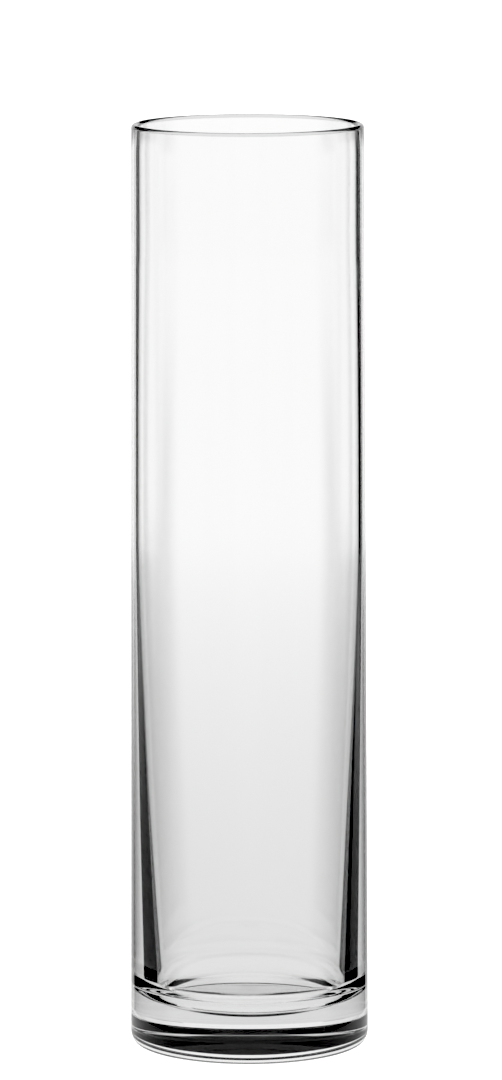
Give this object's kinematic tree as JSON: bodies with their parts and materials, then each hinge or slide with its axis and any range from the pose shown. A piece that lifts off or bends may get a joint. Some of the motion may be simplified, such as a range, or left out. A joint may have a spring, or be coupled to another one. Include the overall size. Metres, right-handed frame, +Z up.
{
  "type": "cylinder vase",
  "caption": "Tall clear glass cylinder vase with a rounded rim, walls that thicken downward and a heavy solid base with a shallow bowl-shaped inner floor.",
  "frame": {"origin": "centre of the foot, on the surface the vase stands on", "axes": "+Z up the axis of the vase, out of its mouth; the vase is round, so +X and +Y are any two directions across it"},
  "size_m": [0.0684, 0.0684, 0.265],
  "materials": {
    "clear_glass": "clear, fire-polished soda-lime glass"
  },
  "bodies": {
    "root": {"vase_body": "clear_glass"}
  },
  "joints": []
}
